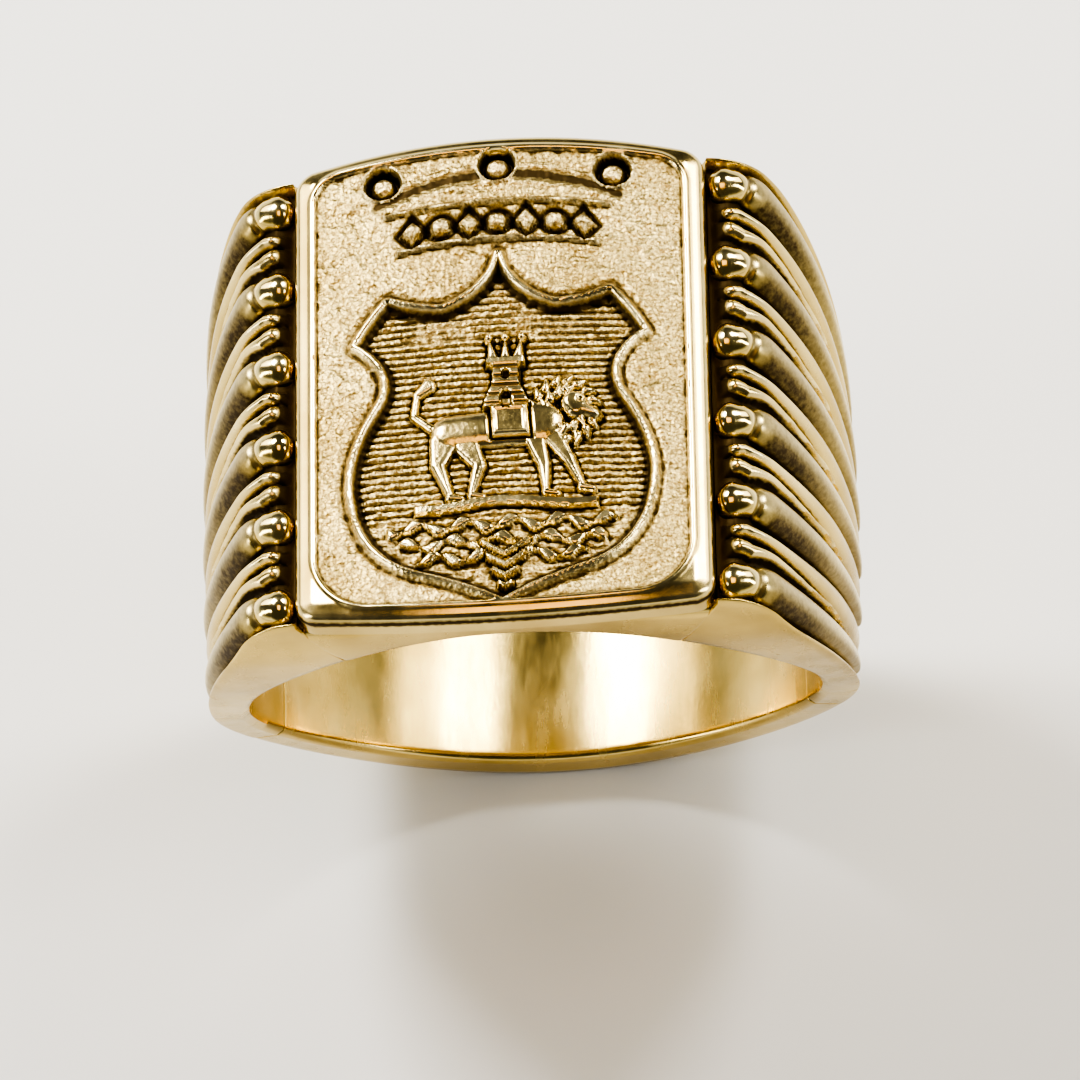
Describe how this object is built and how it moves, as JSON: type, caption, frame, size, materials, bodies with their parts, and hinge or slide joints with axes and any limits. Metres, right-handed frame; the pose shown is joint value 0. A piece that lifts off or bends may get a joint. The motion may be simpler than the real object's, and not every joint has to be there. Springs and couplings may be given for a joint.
{
  "type": "signet ring",
  "caption": "Yellow gold signet ring with a domed rectangular plate carrying a crowned shield, and broad shoulders set with ball-headed reeds that taper into a plain shank.",
  "frame": {"origin": "centre of the finger bore, halfway along it", "axes": "+Y along the finger bore, towards the crown on the plate; +Z from the bore up through the middle of the signet plate; +X to the right shoulder"},
  "size_m": [0.0228, 0.019, 0.0237],
  "materials": {
    "plate_gold": "polished border, stippled and engraved field with a dark patina in the cuts",
    "band_gold": "brushed yellow gold, worn to a soft polish, with a darkened patina in the grooves",
    "reed_gold": "bright polished yellow gold"
  },
  "bodies": {
    "root": {"signet_plate": "plate_gold", "head_block": "band_gold", "left_shoulder": "band_gold", "right_shoulder": "band_gold", "shank": "band_gold", "left_reed_1": "reed_gold", "left_reed_2": "reed_gold", "left_reed_3": "reed_gold", "left_reed_4": "reed_gold", "left_reed_5": "reed_gold", "left_reed_6": "reed_gold", "right_reed_1": "reed_gold", "right_reed_2": "reed_gold", "right_reed_3": "reed_gold", "right_reed_4": "reed_gold", "right_reed_5": "reed_gold", "right_reed_6": "reed_gold"}
  },
  "joints": []
}
